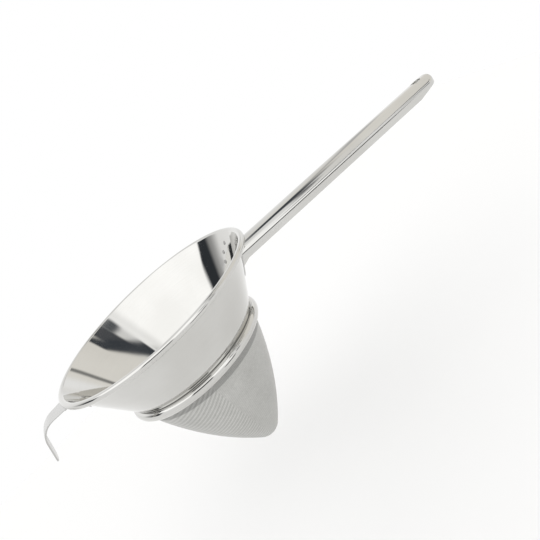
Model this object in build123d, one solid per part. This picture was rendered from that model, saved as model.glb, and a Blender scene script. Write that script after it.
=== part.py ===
from build123d import *
from math import asin, atan2, cos, degrees, hypot, radians, sin, sqrt, tan
import os

# A chinois strainer. The origin is the centre of the mouth, level with the top of the rolled rim.
# +X runs along the handle, -X along the pot hook, and +Z up out of the mouth. Sizes are in mm.

# Clearances
seat_gap = 0.1
weld_gap = 0.03
cut_overrun = 5.0

# Mouth and rolled rim
rim_diameter = 200.0
roll_diameter = 5.6
roll_wrap_angle = 302.0

# Bowl sheet, its wall and its neck, measured on the inner face
bowl_sheet = 0.8
neck_radius = 63.4
neck_depth = 54.3
neck_length = 11.5
neck_angle = 17.0

# Woven cloth: a bulged cone with a round tip, lapped on the foot of the wall
cloth_thickness = 0.6
cloth_lap = 1.4
cloth_top_angle = 15.5
cloth_tip_angle = 39.0
cloth_tip_radius = 15.0

# Band and hoop that trap the cloth
ring_sheet = 0.8
ring_radius = 4.5
ring_set_out = 0.05
ring_set_down = 1.9
hoop_wire_diameter = 2.9
hoop_wire_gap = 0.25

# Handle: a pressed channel that leaves the wall below the rim
handle_reach = 254.0
handle_drop = 22.0
handle_fall_angle = 3.5
handle_width = 28.0
handle_sheet = 1.2
crown_height = 8.2
crown_radius_share = 0.643
shoulder_radius = 4.4
side_wall = 6.0
root_flare_start = 10.0
root_flare_angle = 18.0
root_overrun = 36.0
nose_rise_length = 31.0
nose_rise_angle = 10.0
hang_hole_diameter = 11.0
hang_hole_setback = 16.5

# Mounting plate between handle and bowl
plate_thickness = 1.5
plate_width = 47.0
plate_top_depth = 6.2
plate_bottom_depth = 36.0
plate_corner_radius = 10.0
seam_leg = 2.5
seam_top_gap = 0.4
seam_length = 5.0

# Spot welds
weld_diameter = 3.6
weld_proud = 0.3
weld_round = 0.25
upper_weld_across = 14.2
upper_weld_depth = 10.0
lower_weld_across = 19.0
middle_weld_depth = 16.8
lower_weld_depth = 24.4
hook_weld_across = 8.0
hook_weld_setback = 3.7

# Pot hook: a bent strip with a tab on the wall
hook_sheet = 1.2
hook_reach = 24.2
hook_under_rim_gap = 0.3
hook_root_bend_radius = 3.0
hook_bend_radius = 15.5
hook_tab_length = 15.0
hook_leg_length = 29.5
hook_leg_flare_angle = 17.0
hook_root_width = 28.0
hook_bend_width = 20.5
hook_tip_width = 15.0
hook_tip_corner_radius = 6.0

rim_radius = rim_diameter / 2
roll_radius = roll_diameter / 2
roll_centre = (rim_radius - roll_radius, -roll_radius)
neck_corner = (neck_radius, -neck_depth)


def up_face(point, lean, distance):
    """The point moved up a face that leans outward by an angle from the vertical."""
    return (point[0] + distance * sin(radians(lean)), point[1] + distance * cos(radians(lean)))


def off_face(point, lean, distance):
    """The point moved off such a face, outward and down, square to it."""
    return (point[0] + distance * cos(radians(lean)), point[1] - distance * sin(radians(lean)))


def off_corner(corner, upper_lean, lower_lean, distance):
    """The mitred corner of two faces that are both moved outward by a distance."""
    middle = (upper_lean + lower_lean) / 2
    half_turn = radians(upper_lean - lower_lean) / 2
    return off_face(corner, middle, distance / cos(half_turn))


def lean_to_roll(point):
    """Lean of the line from a point that touches the inner side of the rolled rim."""
    run = roll_centre[0] - point[0]
    rise = roll_centre[1] - point[1]
    return degrees(atan2(run, rise)) - degrees(asin(roll_radius / hypot(run, rise)))


wall_lean = lean_to_roll(neck_corner)

# Layers outside the inner face of the wall
wall_outside = bowl_sheet
cloth_inside = wall_outside + seat_gap
cloth_outside = cloth_inside + cloth_thickness
plate_inside = wall_outside + seat_gap
plate_outside = plate_inside + plate_thickness
hook_middle = wall_outside + seat_gap + hook_sheet / 2
hook_outside = wall_outside + seat_gap + hook_sheet

# Pot hook: how deep its level run lies, and its welds, set back from the end of its tab
hook_level_depth = roll_diameter + hook_under_rim_gap + hook_sheet / 2
hook_weld_fall = (hook_tab_length - hook_weld_setback) * cos(radians(wall_lean))
hook_weld_depth = hook_level_depth + hook_weld_fall - hook_middle * sin(radians(wall_lean))


def filled(points):
    return make_face(Polyline(*points, close=True))


def curved_strip(centre, outer_radius, inner_radius, start_angle, sweep):
    outer = CenterArc(centre, outer_radius, start_angle, sweep)
    inner = CenterArc(centre, inner_radius, start_angle, sweep)
    return make_face([outer, Line(outer @ 1, inner @ 1), inner, Line(inner @ 0, outer @ 0)])


def turned(face):
    """A section of radius and height, turned once round the bowl's axis."""
    return revolve(Plane.XZ * face, axis=Axis.Z)


def wall_point(across, depth, side):
    """A place on the wall's inner face, and the direction out through the sheet."""
    radius = neck_radius + (neck_depth - depth) * tan(radians(wall_lean))
    along = sqrt(radius**2 - across**2)
    out = Vector(side * along, across, 0).normalized() * cos(radians(wall_lean))
    return Vector(side * along, across, -depth), out - Vector(0, 0, sin(radians(wall_lean)))


def weld_stub(spot, radius, start, length):
    place, out = spot
    stub = Cylinder(radius, length, align=(Align.CENTER, Align.CENTER, Align.MIN))
    return Plane(origin=place + out * start, z_dir=out) * stub


def weld_holes(spots):
    through = plate_outside + hook_outside + cut_overrun
    return [weld_stub(spot, weld_diameter / 2 + weld_gap, -cut_overrun, cut_overrun + through) for spot in spots]


def weld_buttons(spots, outside):
    buttons = []
    for spot in spots:
        button = weld_stub(spot, weld_diameter / 2, -weld_proud, weld_proud + outside)
        domed_edge = button.edges().filter_by(GeomType.CIRCLE).sort_by(Axis.Z)[-1]
        buttons.append(fillet(domed_edge, weld_round))
    return buttons


handle_spots = [
    wall_point(hand * across, depth, 1)
    for hand in (-1, 1)
    for across, depth in (
        (upper_weld_across, upper_weld_depth),
        (lower_weld_across, middle_weld_depth),
        (lower_weld_across, lower_weld_depth),
    )
]
hook_spots = [wall_point(hand * hook_weld_across, hook_weld_depth, -1) for hand in (-1, 1)]


# Bowl
def make_bowl():
    roll = curved_strip(roll_centre, roll_radius, roll_radius - bowl_sheet, 180 - wall_lean, -roll_wrap_angle)
    inner_top = off_face(roll_centre, wall_lean, -roll_radius)
    outer_top = off_face(roll_centre, wall_lean, bowl_sheet - roll_radius)
    outer_corner = off_corner(neck_corner, wall_lean, neck_angle, bowl_sheet)
    wall = filled([inner_top, neck_corner, outer_corner, outer_top])
    inner_foot = up_face(neck_corner, neck_angle, -neck_length)
    neck = filled([neck_corner, inner_foot, off_face(inner_foot, neck_angle, bowl_sheet), outer_corner])
    return turned(roll + wall + neck) - weld_holes(handle_spots + hook_spots)


# Woven cloth cone: lap, bulged side and round tip
cloth_corner = off_corner(neck_corner, wall_lean, cloth_top_angle, cloth_outside)


def make_cloth():
    tip_rim = cloth_tip_radius * cos(radians(cloth_tip_angle))
    bulge_fall = cos(radians(cloth_top_angle)) - cos(radians(cloth_tip_angle))
    bulge_radius = (cloth_corner[0] - tip_rim) / bulge_fall
    bulge_centre = off_face(cloth_corner, cloth_top_angle, -bulge_radius)
    tip_joint = off_face(bulge_centre, cloth_tip_angle, bulge_radius)
    tip_centre = (0, tip_joint[1] + cloth_tip_radius * sin(radians(cloth_tip_angle)))
    middle_angle = (cloth_top_angle + cloth_tip_angle) / 2
    round_angle = (cloth_tip_angle + 90) / 2

    def side_and_tip(inset):
        start = off_face(bulge_centre, cloth_top_angle, bulge_radius - inset)
        middle = off_face(bulge_centre, middle_angle, bulge_radius - inset)
        joint = off_face(bulge_centre, cloth_tip_angle, bulge_radius - inset)
        shoulder = off_face(tip_centre, round_angle, cloth_tip_radius - inset)
        tip = off_face(tip_centre, 90, cloth_tip_radius - inset)
        return ThreePointArc(start, middle, joint), ThreePointArc(joint, shoulder, (0, tip[1]))

    outer_side, outer_tip = side_and_tip(0)
    inner_side, inner_tip = side_and_tip(cloth_thickness)
    inner_corner = off_corner(neck_corner, wall_lean, cloth_top_angle, cloth_inside)
    outer_lap = up_face(cloth_corner, wall_lean, cloth_lap)
    inner_lap = off_face(outer_lap, wall_lean, -cloth_thickness)
    edges = [outer_side, outer_tip, Line(outer_tip @ 1, inner_tip @ 1), inner_tip, inner_side]
    edges += [Line(inner_side @ 0, inner_corner), Line(inner_corner, inner_lap)]
    edges += [Line(inner_lap, outer_lap), Line(outer_lap, outer_side @ 0)]
    return turned(make_face(edges))


# Band round the foot of the wall, with its hoop
def make_ring():
    centre = (cloth_corner[0] + ring_set_out, cloth_corner[1] - ring_set_down)
    band = Pos(*centre) * (Circle(ring_radius) - Circle(ring_radius - ring_sheet))
    reach = 2 * ring_radius + cut_overrun
    wall_seat = off_corner(neck_corner, wall_lean, neck_angle, wall_outside + seat_gap)
    cloth_seat = off_face(cloth_corner, cloth_top_angle, seat_gap)
    for seat, lean in ((wall_seat, wall_lean), (cloth_seat, cloth_top_angle)):
        top = up_face(seat, lean, reach)
        foot = up_face(seat, lean, -reach)
        band -= filled([top, foot, (0, foot[1]), (0, top[1])])
    return turned(band)


def make_hoop():
    centre = off_corner(cloth_corner, wall_lean, cloth_top_angle, hoop_wire_gap + hoop_wire_diameter / 2)
    return turned(Pos(*centre) * Circle(hoop_wire_diameter / 2))


# Mounting plate of the handle, curved to the wall
def inside_wall(distance):
    """Everything inside a face at a distance off the wall's inner face."""
    top = off_face(up_face(neck_corner, wall_lean, rim_radius), wall_lean, distance)
    foot = off_face(neck_corner, wall_lean, distance)
    return turned(filled([top, foot, (0, foot[1]), (0, top[1])]))


def make_plate():
    height = plate_bottom_depth - plate_top_depth
    outline = Plane.YZ * Pos(0, -(plate_top_depth + plate_bottom_depth) / 2)
    outline *= RectangleRounded(plate_width, height, plate_corner_radius)
    plate = (inside_wall(plate_outside) & extrude(outline, rim_radius)) - inside_wall(plate_inside)
    return plate - weld_holes(handle_spots)


# Handle, drawn along its own axis: x' along it, y across, z' up from the shoulder line
fall = radians(handle_fall_angle)
handle_frame = Plane(origin=(rim_radius, 0, -handle_drop), x_dir=(cos(fall), 0, -sin(fall)), z_dir=(sin(fall), 0, cos(fall)))
blank_depth = side_wall + root_overrun
crown_radius = crown_radius_share * handle_width
inner_half_width = handle_width / 2 - handle_sheet


def crown_edge(inset):
    """Height at which the crown's outer or inner face meets the side walls."""
    radius = crown_radius - inset
    half_width = handle_width / 2 - inset
    return crown_height - crown_radius + sqrt(radius**2 - half_width**2)


def shoulder_foot():
    """Height at which the inner shoulder's round ends on the side walls."""
    turn = radians(90) - asin(inner_half_width / (crown_radius - handle_sheet))
    return crown_edge(handle_sheet) - (shoulder_radius - handle_sheet) * tan(turn / 2)


def handle_form(inset):
    """The pressing's outer form, or its inner form inset by the sheet."""
    half_width = handle_width / 2 - inset
    left_edge = (-half_width, crown_edge(inset))
    right_edge = (half_width, crown_edge(inset))
    crown = ThreePointArc(right_edge, (0, crown_height - inset), left_edge)
    sides = Polyline(left_edge, (-half_width, -blank_depth), (half_width, -blank_depth), right_edge)
    section = make_face([crown, sides])
    blank = Pos(-root_overrun, 0, 0) * extrude(Plane.YZ * section, root_overrun + handle_reach)
    straight = handle_reach - handle_width / 2
    plan = Pos((straight - root_overrun) / 2, 0) * Rectangle(straight + root_overrun, 2 * half_width)
    plan += Pos(straight, 0) * Circle(half_width)
    form = blank & extrude(plan, blank_depth + crown_height, both=True)
    brow = form.faces().sort_by(Axis.Z)[-1].edges().sort_by(Axis.X)[1:]
    return fillet(brow, shoulder_radius - inset)


def below_edge():
    """What is cut away below the side walls: deeper at the root, rising at the nose."""
    root = -root_overrun - cut_overrun
    nose = handle_reach + cut_overrun
    deep = -blank_depth - cut_overrun
    root_fall = (root_overrun + cut_overrun - root_flare_start) * tan(radians(root_flare_angle))
    nose_climb = (nose_rise_length + cut_overrun) * tan(radians(nose_rise_angle))
    edge = [(root, -side_wall - root_fall), (-root_flare_start, -side_wall)]
    edge += [(handle_reach - nose_rise_length, -side_wall), (nose, nose_climb - side_wall)]
    return extrude(Plane.XZ * filled(edge + [(nose, deep), (root, deep)]), handle_width, both=True)


def make_handle():
    channel = handle_form(0) - handle_form(handle_sheet) - below_edge()
    hole = Pos(handle_reach - hang_hole_setback, 0, 0) * Cylinder(hang_hole_diameter / 2, 4 * crown_height)
    return handle_frame * (channel - hole) - inside_wall(plate_outside)


def make_seams():
    bead_layer = inside_wall(plate_outside + seam_leg) - inside_wall(plate_outside)
    height = shoulder_foot() - seam_top_gap - seam_length / 2
    seams = []
    for hand in (-1, 1):
        stretch = Box(2 * root_overrun, seam_leg, seam_length)
        place = (0, hand * (inner_half_width - seam_leg / 2), height)
        seams.append(bead_layer & (handle_frame * Pos(*place) * stretch))
    return seams


# Pot hook: tab on the wall, run under the rim, and leg
def make_hook():
    level = -hook_level_depth
    foot = off_face(neck_corner, wall_lean, hook_middle)
    climb = (level - foot[1]) / cos(radians(wall_lean))
    corner = up_face(foot, wall_lean, climb)
    tab_end = up_face(foot, wall_lean, climb - hook_tab_length)
    bend = (rim_radius + hook_reach, level)
    tip = up_face(bend, -hook_leg_flare_angle, -hook_leg_length)
    half_way = (rim_radius, level)
    path = FilletPolyline(tab_end, corner, half_way, radius=hook_root_bend_radius)
    path += FilletPolyline(half_way, bend, tip, radius=hook_bend_radius)
    strip = turned(trace(path, hook_sheet))
    half_root = hook_root_width / 2
    half_bend = hook_bend_width / 2
    far = rim_radius + hook_reach
    past = far + hook_leg_length
    plan = filled([(0, -half_root), (rim_radius, -half_root), (far, -half_bend), (past, -half_bend),
                   (past, half_bend), (far, half_bend), (rim_radius, half_root), (0, half_root)])
    strip &= extrude(plan, rim_radius, both=True)
    half_tip = hook_tip_width / 2
    leg = filled([(-half_bend, level), (half_bend, level), (half_tip, tip[1]), (-half_tip, tip[1])])
    leg = fillet(leg.vertices().group_by(Axis.Y)[0], hook_tip_corner_radius)
    below = Pos(0, level - rim_radius) * Rectangle(rim_radius, 2 * rim_radius)
    trim = Pos(rim_radius, 0, 0) * extrude(Plane.YZ * (below - leg), rim_radius)
    hook = Rot(0, 0, 180) * (strip - trim)
    return hook - weld_holes(hook_spots)


parts = {
    "bowl": make_bowl(),
    "mesh_cone": make_cloth(),
    "mesh_ring": make_ring(),
    "hoop_wire": make_hoop(),
    "handle": make_handle(),
    "handle_plate": make_plate(),
    "handle_seams": Compound(make_seams()),
    "handle_spot_welds": Compound(weld_buttons(handle_spots, plate_outside)),
    "pot_hook": make_hook(),
    "hook_spot_welds": Compound(weld_buttons(hook_spots, hook_outside)),
}

os.makedirs("parts", exist_ok=True)
for name, shape in parts.items():
    export_step(shape, f"parts/{name}.step")
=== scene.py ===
from math import cos, degrees, pi, radians, sin

import bpy
from mathutils import Matrix, Vector


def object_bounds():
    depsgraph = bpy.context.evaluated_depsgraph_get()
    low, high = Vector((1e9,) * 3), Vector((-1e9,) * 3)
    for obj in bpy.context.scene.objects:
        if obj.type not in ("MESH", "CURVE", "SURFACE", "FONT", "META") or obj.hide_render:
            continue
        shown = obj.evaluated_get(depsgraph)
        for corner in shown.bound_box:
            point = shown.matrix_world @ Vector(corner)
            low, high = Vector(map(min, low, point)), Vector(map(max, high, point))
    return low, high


# Looks for a conical strainer: polished steel bowl, bead and handle, satin steel hook and plate,
# woven steel cloth and dull welds. Lengths are in metres, angles in degrees unless a comment says otherwise.
# The handle runs along +X, the mouth opens up +Z, and the bowl's axis is the Z axis.

# Camera: where the photograph was taken from, how it was turned, and how near and how far it sees
CAMERA_PLACE = Vector((-0.0276, -0.4757, 0.1202))
CAMERA_RIGHT = Vector((0.66767, -0.40722, -0.62322))
CAMERA_UP = Vector((0.70334, 0.07067, 0.70733))
CAMERA_LENS = 38.69
CAMERA_REACH = (0.01, 50.0)

# Floor: a pale sheet below the cone's tip, with a glow that only the camera and reflections see
FLOOR_SIZE = 1.4
FLOOR_DROP = 0.08
FLOOR_PAINT = (0.72, 0.72, 0.718, 1.0)
FLOOR_GLOW = 0.22
WHITE = (1.0, 1.0, 1.0, 1.0)

# Steel: the colour where the sheet is a little darker and warmer, and where it is lighter
POLISHED_TINTS = ((0.585, 0.579, 0.558, 1.0), (0.650, 0.646, 0.627, 1.0))
SATIN_TINTS = ((0.515, 0.511, 0.500, 1.0), (0.560, 0.557, 0.547, 1.0))
WELD_TINTS = ((0.33, 0.325, 0.315, 1.0), (0.46, 0.455, 0.445, 1.0))
# Its roughness where it is smoothest, and where it is dullest
POLISHED_ROUGHNESS = (0.036, 0.0585)
SATIN_ROUGHNESS = (0.16, 0.26)
WELD_ROUGHNESS = (0.16, 0.24)

# Polishing lines: how many to a metre across them and along them, and how deep they bite
LINES_ACROSS = 1400.0
LINES_ALONG = 40.0
LINE_DEPTH = 0.0000003
SATIN_LINE_DEPTH = 0.0000015
# Unevenness of the sheet, each kind with its cells to a metre and its finer layers: slow waves left by
# pressing, broad clouds in the colour, and smears of handling that dull the polish a little
WAVES = (28.0, 1.0)
CLOUDS = (11.0, 2.0)
SMEARS = (35.0, 4.0)
WAVE_DEPTH = 0.000012
# The share of the lines in the uneven colour, of the clouds in its rest, and of the lines in the roughness.
# The smears make up what is left
LINE_TINT_SHARE = 0.15
CLOUD_TINT_SHARE = 0.75
LINE_DULL_SHARE = 0.35
# Grain of the welds, in cells to a metre, and how deep it is
WELD_GRAIN = 2500.0
WELD_DEPTH = 0.000008
# The values that noise swings between, for a mix of several and for a single one, and their middle
MIXED_RANGE = (0.35, 0.65)
SINGLE_RANGE = (0.3, 0.7)
NOISE_MIDDLE = 0.5
# Painted shade in the creases: how near two surfaces must be, how dark the painted shade makes them, and how
# open to the room a place is where the painted shade is full and where it is gone
CREASE = 0.0014
CREASE_SHADE = 0.3
CREASE_OPENING = (0.3, 0.85)

# Woven cloth: a flat piece rolled into a cone. Its corner lies at this height, its joint at this bearing
CLOTH_APEX = -0.175
CLOTH_JOINT = -101
# The share of its angle that the cloth keeps when it is laid flat, and how far past the joint
# the straight line down from the corner lies that the ribs run beside
CLOTH_TURN_SHARE = 0.51
CLOTH_RIB_BEARING = 101
RIB_PITCH = 0.00327
# How far round from the joint, in radians, the ribs stay full, and where they are gone
RIBS_FULL = 0.5
RIBS_GONE = 1.9
# The colour of its hollows and of its heights
CLOTH_TINTS = ((0.345, 0.345, 0.328, 1.0), (0.675, 0.673, 0.655, 1.0))
# What the ribs, the uneven threads and the single wires add to its height
RIB_SHARE = 0.38
THREAD_SHARE = 0.8
WIRE_SHARE = 0.3
WIRE_SPACING = 0.001
# Uneven threads: how many to a metre across them and along them
THREADS_ACROSS = 1000.0
THREADS_ALONG = 220.0
# How far the height and the stains change the colour, and the stains' cells and layers
WEAVE_SHARE = 0.5
STAIN_SHARE = 0.5
STAINS = (45.0, 2.0)
CLOTH_ROUGHNESS = (0.378, 0.462)
CLOTH_DEPTH = 0.00004
# A painted shadow on the cloth just below the bead: where it ends, how gradually, and how dark it is
BEAD_SHADOW_END = -0.0684
BEAD_SHADOW_BLUR = 0.0004
BEAD_SHADOW_SHADE = 0.65

# Edges that turn by more than this stay sharp
SHARP_ANGLE = 28
HALF_TURN = 180

# Studio around the metal: a white room with soft-edged panels on its walls and ceiling.
# Each panel has its centre's bearing and elevation, its width and height, its roll,
# the softness of its sides and of its top and bottom, all in degrees, and its colour.
# A later panel covers an earlier one.
PANELS = {
    "warm_wall": ((12, 32), (90, 52), 0, (24, 14), (0.98, 0.955, 0.905)),
    "ceiling": ((-130, 53), (160, 52), 0, (12, 6), (1.54, 1.54, 1.54)),
    "skylight": ((-42, 57.4), (70, 9), 40, (16, 9), (1.28, 1.28, 1.28)),
    "side_window": ((100.6, 13.8), (33, 61), -57, (11, 11), (1.11, 1.11, 1.11)),
    "window": ((-79, 29), (25, 18), -20, (5, 6), (1.45, 1.45, 1.45)),
    "low_window": ((-68, 13), (16, 16), 0, (5, 5), (1.45, 1.45, 1.45)),
    "end": ((47.6, 15), (19, 14), -12, (14, 14), (1.11, 1.11, 1.11)),
    "front_screen": ((-117, 28.5), (38, 22), 0, (5, 4), (0.07, 0.07, 0.07)),
    "right_core": ((-29, 41.3), (16, 4.8), -4, (4, 1.5), (0.10, 0.105, 0.115)),
    "right_streak": ((-42.0, 44.4), (13, 1.6), -9.5, (5, 1), (0.12, 0.13, 0.14)),
    "right_screen": ((-31, 39.4), (37, 3.0), -4.5, (3, 1.2), (0.060, 0.068, 0.080)),
    "far_shade": ((148, 20), (20, 20.6), 0, (16, 1.2), (0.40, 0.40, 0.40)),
    "far_screen": ((158.5, 20), (20, 20.6), 0, (8, 1.2), (0.040, 0.045, 0.052)),
    "slot": ((27, 21.5), (4.6, 8), 7, (3.6, 2), (0.28, 0.28, 0.27)),
    "overhead_leg": ((49, 37), (42, 5), -68, (10, 4), (0.62, 0.62, 0.62)),
    "overhead_tail": ((4, 63.6), (46, 3.0), 4, (30, 2), (0.22, 0.22, 0.23)),
    "overhead": ((30, 62.5), (30, 12), -15, (8, 7), (0.070, 0.078, 0.090)),
    "corner": ((-57, 35.5), (10, 11), 0, (4, 3), (0.15, 0.15, 0.15)),
    "near_screen": ((-46, 16), (9, 15), 0, (4, 5), (0.30, 0.30, 0.30)),
    "low_screen": ((-66, -7.5), (22, 14), 0, (6, 4), (0.04, 0.04, 0.04)),
}


class Nodes:
    """A short way to add and join shader nodes."""

    def __init__(self, tree):
        self.tree = tree
        tree.nodes.clear()

    def add(self, kind, values=(), **settings):
        node = self.tree.nodes.new(kind)
        for name, value in settings.items():
            setattr(node, name, value)
        for socket, value in dict(values).items():
            if isinstance(value, bpy.types.NodeSocket):
                self.tree.links.new(value, node.inputs[socket])
            else:
                node.inputs[socket].default_value = value
        return node

    def coordinates(self, kind):
        return self.add("ShaderNodeTexCoord").outputs[kind]

    def math(self, operation, first, second=0.0, clamp=False):
        values = {0: first, 1: second}
        return self.add("ShaderNodeMath", values, operation=operation, use_clamp=clamp).outputs[0]

    def mix_sum(self, first, first_share, second, second_share):
        """The sum of two values, each times its share."""
        values = {0: first, 1: first_share, 2: self.math("MULTIPLY", second, second_share)}
        return self.add("ShaderNodeMath", values, operation="MULTIPLY_ADD").outputs[0]

    def mixed(self, first, share, second):
        """A mix of two values, in which the first has the share and the second has the rest."""
        return self.mix_sum(first, share, second, 1 - share)

    def vector_math(self, operation, first, second=(0.0, 0.0, 0.0)):
        return self.add("ShaderNodeVectorMath", {0: first, 1: second}, operation=operation).outputs

    def dot(self, vector, axis):
        return self.vector_math("DOT_PRODUCT", vector, axis)["Value"]

    def length(self, vector):
        return self.vector_math("LENGTH", vector)["Value"]

    def scaled(self, vector, scales):
        return self.vector_math("MULTIPLY", vector, scales)["Vector"]

    def vector(self, x, y, z):
        return self.add("ShaderNodeCombineXYZ", {0: x, 1: y, 2: z}).outputs[0]

    def split(self, vector):
        return self.add("ShaderNodeSeparateXYZ", {0: vector}).outputs

    def noise(self, vector, scale=1.0, detail=3.0):
        values = {"Vector": vector, "Scale": scale, "Detail": detail}
        return self.add("ShaderNodeTexNoise", values).outputs["Fac"]

    def blend(self, share, first, second):
        """A colour that goes from the first to the second as the share goes from 0 to 1."""
        values = {"Factor": share, 6: first, 7: second}
        return self.add("ShaderNodeMix", values, data_type="RGBA").outputs[2]

    def fade(self, value, start, end, low=0.0, high=1.0):
        """A smooth step of a value from low at start to high at end."""
        values = {"Value": value, "From Min": start, "From Max": end, "To Min": low, "To Max": high}
        return self.add("ShaderNodeMapRange", values, interpolation_type="SMOOTHSTEP").outputs["Result"]

    def bump(self, height, depth, below=None):
        """The surface normal over a height that goes from 0 to 1, laid on another normal if one is given."""
        values = {"Height": height, "Strength": 1.0, "Distance": depth}
        if below is not None:
            values["Normal"] = below
        return self.add("ShaderNodeBump", values).outputs[0]


def new_material(name):
    material = bpy.data.materials.new(name)
    material.use_nodes = True
    return material, Nodes(material.node_tree)


def metal(nodes, colour, roughness, normal):
    values = {"Base Color": colour, "Metallic": 1.0, "Roughness": roughness, "Normal": normal}
    shader = nodes.add("ShaderNodeBsdfPrincipled", values)
    nodes.add("ShaderNodeOutputMaterial", {"Surface": shader.outputs["BSDF"]})


def round_lines(nodes, place):
    """Where a point lies across lines that run round the bowl's axis, and a little along them."""
    radius = nodes.length(nodes.scaled(place, (1.0, 1.0, 0.0)))
    parts = nodes.split(place)
    along = nodes.math("MULTIPLY", parts["X"], LINES_ALONG)
    across = nodes.math("MULTIPLY", radius, LINES_ACROSS)
    height = nodes.math("MULTIPLY", parts["Z"], LINES_ACROSS)
    return nodes.vector(along, across, height)


def long_lines(nodes, place):
    """Where a point lies across lines that run along X, and a little along them."""
    return nodes.scaled(place, (LINES_ALONG, LINES_ACROSS, LINES_ACROSS))


def crease_shaded(nodes, colour):
    """The colour, darkened by painted shade in the creases between surfaces."""
    opening = nodes.add("ShaderNodeAmbientOcclusion", {"Distance": CREASE}).outputs["AO"]
    return nodes.scaled(colour, nodes.fade(opening, *CREASE_OPENING, CREASE_SHADE, 1.0))


def steel(name, tints, roughness, lines, line_depth):
    material, nodes = new_material(name)
    place = nodes.coordinates("Object")
    brushed = nodes.noise(lines(nodes, place))
    cloud = nodes.noise(place, *CLOUDS)
    smear = nodes.noise(place, *SMEARS)
    wave = nodes.noise(place, *WAVES)
    shade = nodes.mixed(brushed, LINE_TINT_SHARE, nodes.mixed(cloud, CLOUD_TINT_SHARE, smear))
    colour = nodes.blend(nodes.fade(shade, *MIXED_RANGE), *tints)
    rough = nodes.fade(nodes.mixed(brushed, LINE_DULL_SHARE, smear), *MIXED_RANGE, *roughness)
    normal = nodes.bump(brushed, line_depth, nodes.bump(wave, WAVE_DEPTH))
    # The colour gets painted shade in its creases
    metal(nodes, crease_shaded(nodes, colour), rough, normal)
    return material


def weld_metal():
    material, nodes = new_material("weld_metal")
    grain = nodes.noise(nodes.coordinates("Object"), WELD_GRAIN)
    colour = nodes.blend(nodes.fade(grain, *SINGLE_RANGE), *WELD_TINTS)
    rough = nodes.fade(grain, *SINGLE_RANGE, *WELD_ROUGHNESS)
    metal(nodes, colour, rough, nodes.bump(grain, WELD_DEPTH))
    return material


def laid_flat(nodes, place):
    """A point's bearing from the side opposite the joint, and where the flat cloth has that point:
    how far across the ribs, and how far down along them."""
    far = radians(CLOTH_JOINT + HALF_TURN)
    forward = nodes.dot(place, (cos(far), sin(far), 0.0))
    sideways = nodes.dot(place, (-sin(far), cos(far), 0.0))
    bearing = nodes.math("ARCTAN2", sideways, forward)
    from_rib = nodes.math("SUBTRACT", bearing, pi + radians(CLOTH_RIB_BEARING))
    turn = nodes.math("MULTIPLY", from_rib, CLOTH_TURN_SHARE)
    from_apex = nodes.vector_math("SUBTRACT", place, (0.0, 0.0, CLOTH_APEX))["Vector"]
    slant = nodes.length(from_apex)
    across = nodes.math("MULTIPLY", slant, nodes.math("SINE", turn))
    down = nodes.math("MULTIPLY", slant, nodes.math("COSINE", turn))
    return bearing, across, down


def ripple(nodes, distance, pitch):
    """Waves from -1 to 1, a pitch apart."""
    return nodes.math("SINE", nodes.math("MULTIPLY", distance, 2 * pi / pitch))


def woven_cloth():
    """Cloth of a flat piece rolled into a cone, so that its wires sweep round the sides from the joint."""
    material, nodes = new_material("woven_cloth")
    place = nodes.coordinates("Object")
    bearing, across, down = laid_flat(nodes, place)
    near_joint = nodes.fade(bearing, pi - RIBS_GONE, pi - RIBS_FULL)
    rib = nodes.math("MULTIPLY", ripple(nodes, across, RIB_PITCH), near_joint)
    flat = nodes.vector(across, down, 0.0)
    weft = nodes.noise(nodes.scaled(flat, (THREADS_ACROSS, THREADS_ALONG, 1.0)))
    warp = nodes.noise(nodes.scaled(flat, (THREADS_ALONG, THREADS_ACROSS, 1.0)))
    threads = nodes.math("SUBTRACT", nodes.math("ADD", weft, warp), 2 * NOISE_MIDDLE)
    over = ripple(nodes, across, 2 * WIRE_SPACING)
    under = ripple(nodes, down, 2 * WIRE_SPACING)
    wires = nodes.math("MULTIPLY", over, under)
    weave = nodes.mix_sum(rib, RIB_SHARE, nodes.mix_sum(threads, THREAD_SHARE, wires, WIRE_SHARE), 1.0)
    stain = nodes.noise(place, *STAINS)
    shade = nodes.mix_sum(weave, WEAVE_SHARE, stain, STAIN_SHARE)
    shade = nodes.math("ADD", shade, (1 - STAIN_SHARE) * NOISE_MIDDLE, clamp=True)
    height = nodes.split(place)["Z"]
    # Painted shadow: the cloth above a height just below the bead is darker, as if shaded by the bead
    bead_shadow = nodes.fade(height, BEAD_SHADOW_END - BEAD_SHADOW_BLUR, BEAD_SHADOW_END + BEAD_SHADOW_BLUR, 1.0, BEAD_SHADOW_SHADE)
    colour = nodes.scaled(nodes.blend(shade, *CLOTH_TINTS), bead_shadow)
    rough = nodes.fade(stain, *SINGLE_RANGE, *CLOTH_ROUGHNESS)
    normal = nodes.bump(nodes.math("ADD", weave, NOISE_MIDDLE), CLOTH_DEPTH)
    # The colour gets painted shade in its creases
    metal(nodes, crease_shaded(nodes, colour), rough, normal)
    return material


def dress(node, material):
    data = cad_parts[node].data
    data.materials.clear()
    data.materials.append(material)
    for face in data.polygons:
        face.use_smooth = True
    data.set_sharp_from_angle(angle=radians(SHARP_ANGLE))


def panel_share(nodes, bearing, elevation, centre, size, roll, soft):
    """1 on a panel and 0 off it, with a soft edge between. Bearings and elevations are in degrees."""
    turned = nodes.math("SUBTRACT", bearing, centre[0])
    values = {0: turned, 1: float(HALF_TURN), 2: float(-HALF_TURN)}
    aside = nodes.add("ShaderNodeMath", values, operation="WRAP").outputs[0]
    above = nodes.math("SUBTRACT", elevation, centre[1])
    across = nodes.mix_sum(aside, cos(radians(roll)), above, sin(radians(roll)))
    up = nodes.mix_sum(above, cos(radians(roll)), aside, -sin(radians(roll)))
    shares = []
    for way, reach, edge in ((across, size[0] / 2, soft[0] / 2), (up, size[1] / 2, soft[1] / 2)):
        off = nodes.math("ABSOLUTE", way)
        shares.append(nodes.fade(off, reach - edge, reach + edge, 1.0, 0.0))
    return nodes.math("MULTIPLY", *shares)


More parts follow.
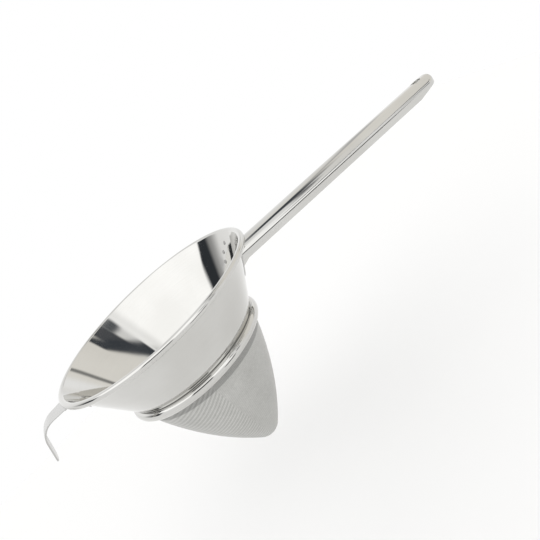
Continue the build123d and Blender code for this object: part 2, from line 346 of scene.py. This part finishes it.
def studio():
    """A white room. The metal shows its white walls and the panels on them, the camera only the white."""
    world = bpy.data.worlds.new("studio")
    world.use_nodes = True
    nodes = Nodes(world.node_tree)
    x, y, z = nodes.split(nodes.coordinates("Generated"))
    bearing = nodes.math("MULTIPLY", nodes.math("ARCTAN2", y, x), degrees(1))
    elevation = nodes.math("MULTIPLY", nodes.math("ARCSINE", z), degrees(1))
    paint = WHITE
    for centre, size, roll, soft, colour in PANELS.values():
        share = panel_share(nodes, bearing, elevation, centre, size, roll, soft)
        paint = nodes.blend(share, paint, (*colour, 1.0))
    light = nodes.add("ShaderNodeLightPath").outputs
    seen = nodes.math("MAXIMUM", light["Is Camera Ray"], light["Is Transmission Ray"])
    room = nodes.add("ShaderNodeBackground", {"Color": nodes.blend(seen, paint, WHITE)})
    nodes.add("ShaderNodeOutputWorld", {"Surface": room.outputs[0]})
    bpy.context.scene.world = world


def floor():
    """A pale floor that looks white to the camera and in the metal, and keeps the strainer's shadow."""
    low, high = solids_box
    half = FLOOR_SIZE / 2
    corners = [(-half, -half, 0.0), (half, -half, 0.0), (half, half, 0.0), (-half, half, 0.0)]
    data = bpy.data.meshes.new("floor")
    data.from_pydata(corners, [], [(0, 1, 2, 3)])
    ground = bpy.data.objects.new("floor", data)
    ground.location = ((low[0] + high[0]) / 2, (low[1] + high[1]) / 2, low[2] - FLOOR_DROP)
    bpy.context.scene.collection.objects.link(ground)
    material, nodes = new_material("floor_paint")
    light = nodes.add("ShaderNodeLightPath").outputs
    seen = nodes.math("MAXIMUM", light["Is Camera Ray"], light["Is Glossy Ray"])
    seen = nodes.math("MAXIMUM", seen, light["Is Transmission Ray"])
    strength = nodes.math("MULTIPLY", seen, FLOOR_GLOW)
    glow = nodes.add("ShaderNodeEmission", {"Color": WHITE, "Strength": strength})
    matt = nodes.add("ShaderNodeBsdfDiffuse", {"Color": FLOOR_PAINT})
    both = nodes.add("ShaderNodeAddShader", {0: matt.outputs[0], 1: glow.outputs[0]})
    nodes.add("ShaderNodeOutputMaterial", {"Surface": both.outputs[0]})
    data.materials.append(material)


def camera():
    data = bpy.data.cameras.new("camera")
    data.lens = CAMERA_LENS
    data.clip_start, data.clip_end = CAMERA_REACH
    eye = bpy.data.objects.new("camera", data)
    bpy.context.scene.collection.objects.link(eye)
    back = CAMERA_RIGHT.cross(CAMERA_UP)
    turn = Matrix((CAMERA_RIGHT, CAMERA_UP, back)).transposed()
    eye.matrix_world = Matrix.Translation(CAMERA_PLACE) @ turn.to_4x4()
    bpy.context.scene.camera = eye


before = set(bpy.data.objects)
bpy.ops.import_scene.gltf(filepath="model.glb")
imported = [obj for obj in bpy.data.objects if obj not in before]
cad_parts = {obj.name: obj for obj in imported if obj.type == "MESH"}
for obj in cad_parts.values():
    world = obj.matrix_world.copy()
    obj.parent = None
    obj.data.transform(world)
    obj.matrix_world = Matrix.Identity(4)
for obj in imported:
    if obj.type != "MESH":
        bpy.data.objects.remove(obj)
solids_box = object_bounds()

spun = steel("polished_steel_spun", POLISHED_TINTS, POLISHED_ROUGHNESS, round_lines, LINE_DEPTH)
pressed = steel("polished_steel_pressed", POLISHED_TINTS, POLISHED_ROUGHNESS, long_lines, LINE_DEPTH)
satin = steel("satin_steel", SATIN_TINTS, SATIN_ROUGHNESS, long_lines, SATIN_LINE_DEPTH)
cloth = woven_cloth()
weld = weld_metal()
for node, material in {
    "bowl": spun, "mesh_ring": spun, "handle": pressed,
    "pot_hook": satin, "handle_plate": satin, "hoop_wire": satin,
    "mesh_cone": cloth,
    "handle_seams": weld, "handle_spot_welds": weld, "hook_spot_welds": weld,
}.items():
    dress(node, material)

floor()
studio()
camera()
bpy.context.scene.view_settings.view_transform = "Standard"
